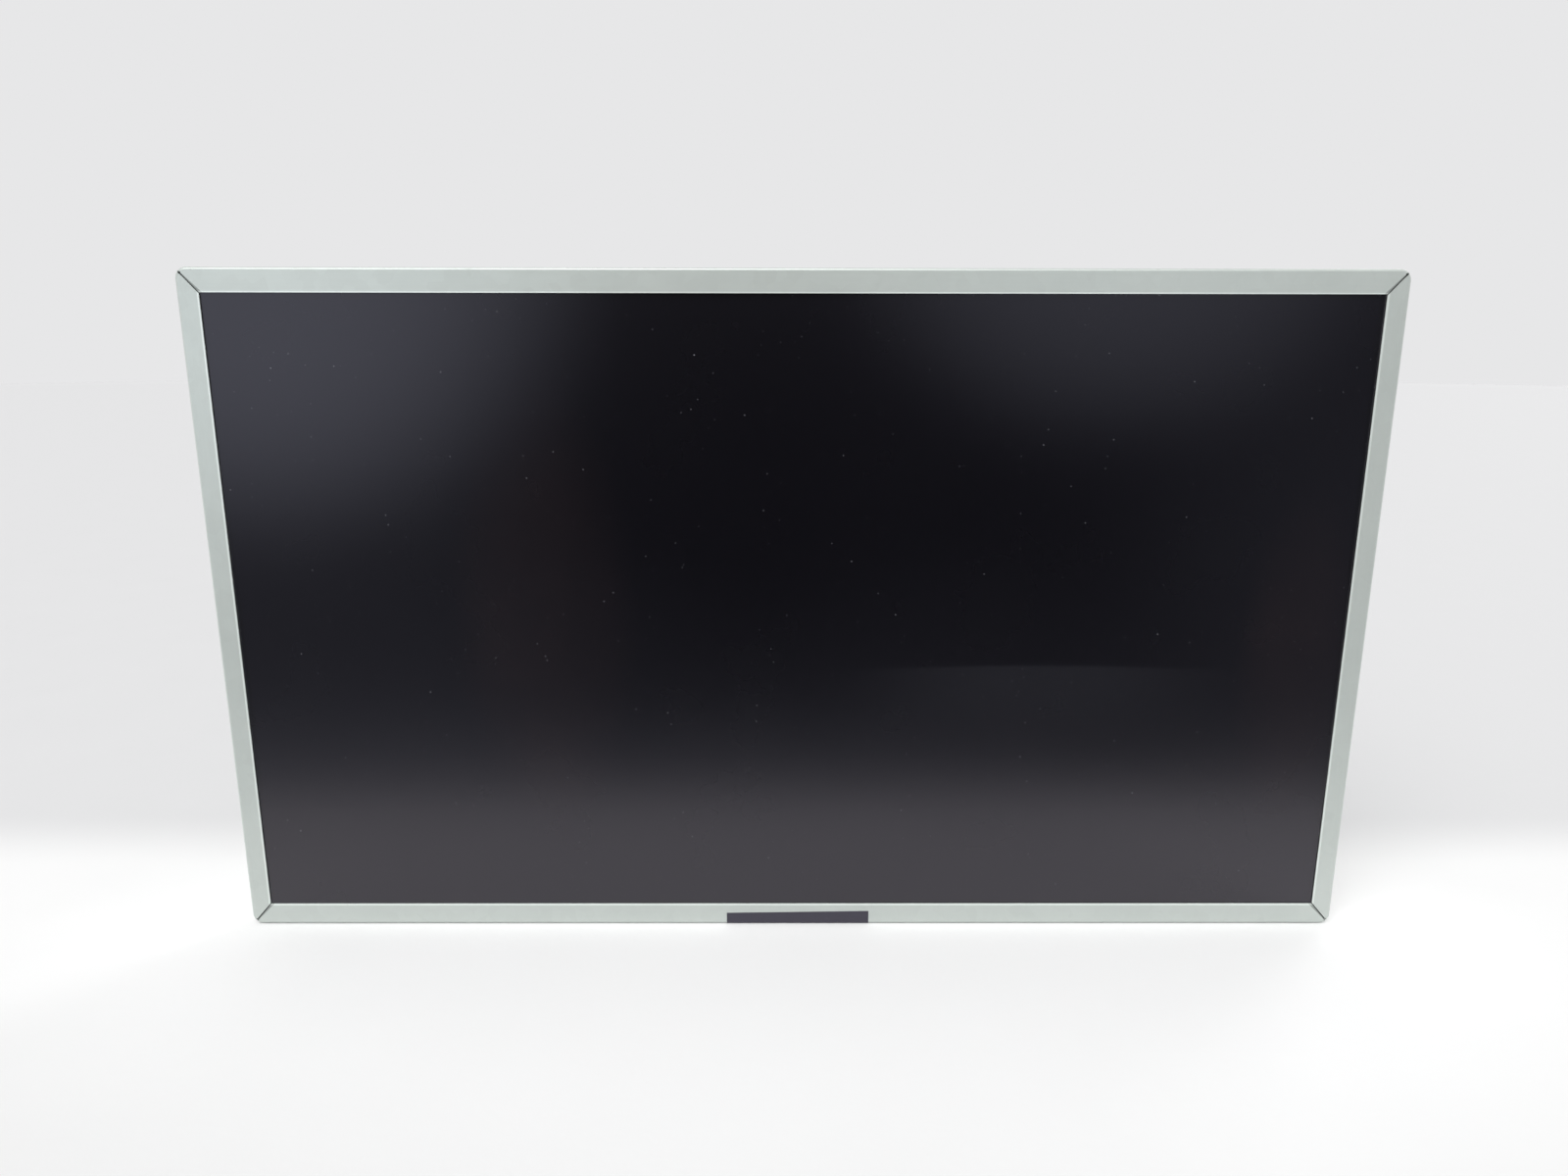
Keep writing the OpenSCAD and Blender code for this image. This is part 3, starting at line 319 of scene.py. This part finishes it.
# Polarizers. Dark film glued to both sides of the glass, the front one with an anti-glare etch, so
# the room in it is soft. The picture area is a shade off the black border. Specks of dust lie on
# it, and it has two brownish patches and a wiped place with a clear upper edge.
picture_w, picture_h = 0.2543, 0.1430
wipe_x, wipe_top, wipe_foot, wipe_curve = 0.115, -0.0240, -0.065, 0.3
screen = Finish("screen_film")
in_x = screen.x.size().ramp(picture_w + 0.0005, picture_w)
picture = in_x * screen.z.size().ramp(picture_h + 0.0004, picture_h)
haze = screen.noise(0.06, 4.0) - 0.5
dusty = screen.noise(0.03, 2.0).ramp(0.50, 0.66)
dust = screen.cells(0.005).ramp(0.055, 0.030) * (0.05 + dusty * 0.40)
dust = dust + screen.cells(0.013).ramp(0.026, 0.016) * dusty * 0.4
off_x = screen.x - wipe_x
wipe_z = screen.z + off_x * off_x * wipe_curve
wipe = wipe_z.ramp(wipe_top + 0.0025, wipe_top) * wipe_z.ramp(wipe_foot, wipe_top - 0.002)
wipe = wipe * off_x.size().ramp(0.105, 0.015)
stain = screen.spot(-0.115, 0.000, 0.046, 0.120) + screen.spot(0.235, -0.020, 0.030, 0.090)
film = screen.blend(picture, paint(6, 5, 9), paint(7, 6, 13))
film = screen.blend(stain * (0.45 + haze), film, paint(26, 17, 19))
film = screen.blend(wipe * 0.26, film, paint(46, 47, 52))
film = screen.blend(dust, film, paint(180, 182, 190))
dress(
    screen.surface(
        {
            "Base Color": film,
            "Roughness": 0.27 + haze * 0.04 + dust * 0.3,
            "IOR": 1.72,
            "Specular Tint": (0.95, 0.90, 1.0, 1.0),
            "Normal": screen.bump(screen.noise(0.00035, 2.0), 0.0000012),
        }
    ),
    "front_polarizer",
    "rear_polarizer",
)


# Edge tape and glass tape. Black polyester film with a satin face, pressed down by hand, so it
# lies in faint ripples and its rubbed places and fine fluff are paler.
tape = Finish("black_tape")
ripple = tape.noise(0.004, 3.0, (1, 1, 0.35)) - 0.5
rubbed = tape.noise(0.006, 5.0, rough=0.75).ramp(0.55, 0.75)
fluff = tape.cells(0.0035).ramp(0.05, 0.03) * tape.noise(0.012, 2.0).ramp(0.55, 0.65)
black = tape.blend(rubbed * 0.35, paint(52, 49, 62), paint(76, 73, 86))
black = tape.blend(fluff * 0.5, black, paint(150, 150, 156))
dress(
    tape.surface(
        {
            "Base Color": tape.tone(black, 1 + ripple * 0.15),
            "Roughness": 0.40 + rubbed * 0.15 + ripple * 0.1,
            "Normal": tape.bump(ripple, 0.00006, tape.bump(tape.noise(0.0004, 2.0), 0.000004)),
        }
    ),
    "edge_tape",
    "glass_tape",
)


# Glass and its foam. Two panes of thin polished glass are glued face to face, with a faint waviness
# left from drawing. Strips of black open foam, cut from sheet, keep them off the bezel.
def plain(name, colour, roughness, size, relief, metallic=0.0, spread=0.06, stretch=(1, 1, 1), **more):
    """A sheet's or moulding's finish: its colour wanders and wears, over a grain of its own size."""
    made = Finish(name)
    broad = made.noise(size * 14, 4.0) - 0.5
    fine = made.noise(size, 3.0, stretch) - 0.5
    worn = made.noise(size * 30, 5.0, rough=0.7).ramp(0.58, 0.74)
    values = {
        "Base Color": made.tone(colour, 1 + broad * spread * 2 + fine * spread + worn * spread * 0.6),
        "Roughness": roughness + fine * 0.12 + worn * 0.08,
        "Metallic": metallic,
        "Normal": made.bump(fine, relief),
    }
    values.update(more)
    return made.surface(values)


cell_glass = plain("cell_glass", paint(26, 30, 32), 0.08, 0.004, 0.000001, IOR=1.52)
dress(cell_glass, "color_filter_glass", "tft_glass")
dress(plain("foam", paint(38, 38, 40), 0.95, 0.0004, 0.00012), "glass_cushions")


# Flexible films. Amber polyimide with copper tracks under it, which run along each film and show
# as paler and darker lines; the tracks stand up a hair. Six films are bonded to the glass, each
# with a driver chip of black resin, and one is the tail of the lamp bar.
flex = Finish("amber_film")
tracks = flex.x.wave(0.0011).ramp(-0.2, 0.3)
amber = flex.blend(tracks, paint(150, 88, 30), paint(206, 142, 70))
fine = flex.noise(0.0012, 4.0) - 0.5
dress(
    flex.surface(
        {
            "Base Color": flex.tone(amber, 1 + fine * 0.15),
            "Roughness": 0.30 + fine * 0.15,
            "Metallic": tracks * 0.25,
            "Normal": flex.bump(tracks, 0.00001),
        }
    ),
    "driver_films",
    "led_tail",
)
resin = plain("chip_black", paint(34, 34, 36), 0.5, 0.0003, 0.00001)
dress(resin, "driver_chips", "timing_chip")


# Mould frame. One thin frame of black glass-filled plastic, moulded with a fine spark texture. It
# holds the glass on its ledge and keeps the light guide in place.
dress(plain("black_plastic", paint(30, 31, 33), 0.55, 0.0006, 0.00002), "mould_frame")


# Optical sheets. White diffusers and a white reflector of punched polyester film, and between the
# diffusers a clear film with a fine ribbed face. They hang loose by their ears.
white_film = plain("white_film", paint(240, 241, 240), 0.6, 0.002, 0.000004)
dress(white_film, "reflector_sheet", "diffuser_film", "diffuser_sheet")
ribbed_film = plain("clear_film", paint(214, 220, 224), 0.25, 0.0003, 0.00001, stretch=(0.05, 1, 1))
dress(ribbed_film, "prism_sheet")


# Light guide. A plate of clear cast acrylic with polished edges, a little green through its depth.
# Soft silicone stops in its notches keep it from rattling.
acrylic = plain("clear_acrylic", paint(206, 218, 220), 0.12, 0.002, 0.000002, IOR=1.49)
dress(acrylic, "light_guide")
dress(plain("silicone", paint(196, 197, 192), 0.7, 0.0008, 0.00002), "light_guide_stops")


# Lamp bar. A narrow board with a white mask, stuck by a woven grey heat tape to the cover's foot.
# Forty-eight lamps are soldered along it, each a block of yellow phosphor in a moulded cup.
dress(plain("light_bar", paint(228, 230, 226), 0.4, 0.0009, 0.00001), "led_board")
dress(plain("lamp_yellow", paint(232, 200, 72), 0.35, 0.0005, 0.00001), "led_lamps")
dress(plain("heat_tape", paint(198, 202, 205), 0.8, 0.0006, 0.00002), "led_heat_tape")


# Driver board. Green solder mask over bundles of copper tracks that run along the board, with
# plated through-holes scattered between them. It lies on a dark insulating film.
board = Finish("board_green")
drift = board.noise(0.012, 2.0) * 0.02
bundle = board.noise(0.009, 2.0).ramp(0.42, 0.5)
copper = (board.z + drift).wave(0.0008).ramp(0.0, 0.4) * bundle
via = board.cells(0.0025).ramp(0.14, 0.10) * (1 - bundle)
mask = board.blend(copper, paint(24, 74, 46), paint(46, 112, 70))
mask = board.blend(via, mask, paint(196, 190, 150))
dress(
    board.surface(
        {
            "Base Color": board.tone(mask, 1 + (board.noise(0.004, 4.0) - 0.5) * 0.12),
            "Roughness": 0.34 + (board.noise(0.001, 3.0) - 0.5) * 0.1,
            "Metallic": via * 0.8,
            "Normal": board.bump(copper, 0.00002),
        }
    ),
    "driver_board",
)
dress(plain("insulating_film", paint(58, 60, 62), 0.5, 0.001, 0.00001), "insulating_sheet")


# What is soldered on the board. Small chips of matt black resin, tan ceramic blocks with a fired
# face, and wound coils under a dark varnish.
dress(plain("board_chip_black", paint(36, 36, 38), 0.55, 0.0003, 0.00001), "board_chips")
dress(plain("ceramic_tan", paint(168, 136, 100), 0.5, 0.0003, 0.00001), "board_capacitors")
dress(plain("coil_dark", paint(60, 58, 60), 0.65, 0.0004, 0.00003), "board_coils")


# Sockets and shields. Both sockets are moulded in cream nylon and hold bent contacts of gold-plated
# copper. The signal socket's shell and the cover over the board are folded from thin tinned steel.
socket_plastic = plain("socket_plastic", paint(226, 219, 200), 0.45, 0.0005, 0.000012)
dress(socket_plastic, "signal_socket", "led_socket")
contact_gold = plain("contact_gold", paint(222, 180, 96), 0.28, 0.0003, 0.000004, metallic=1.0)
dress(contact_gold, "signal_socket_contacts", "led_socket_contacts")
tinned = plain("tinned_steel", paint(206, 208, 206), 0.30, 0.0005, 0.000006, 0.9, stretch=(0.04, 1, 1))
dress(tinned, "board_shield", "signal_socket_shell")


# Screws. Eighteen small cold-headed screws with a bright zinc plating hold the board, its shield
# and the bezel's ears to the cover.
screw_steel = plain("screw_steel", paint(200, 202, 204), 0.3, 0.0004, 0.00001, metallic=0.95)
dress(screw_steel, "board_screws", "shield_screws", "ear_screws")
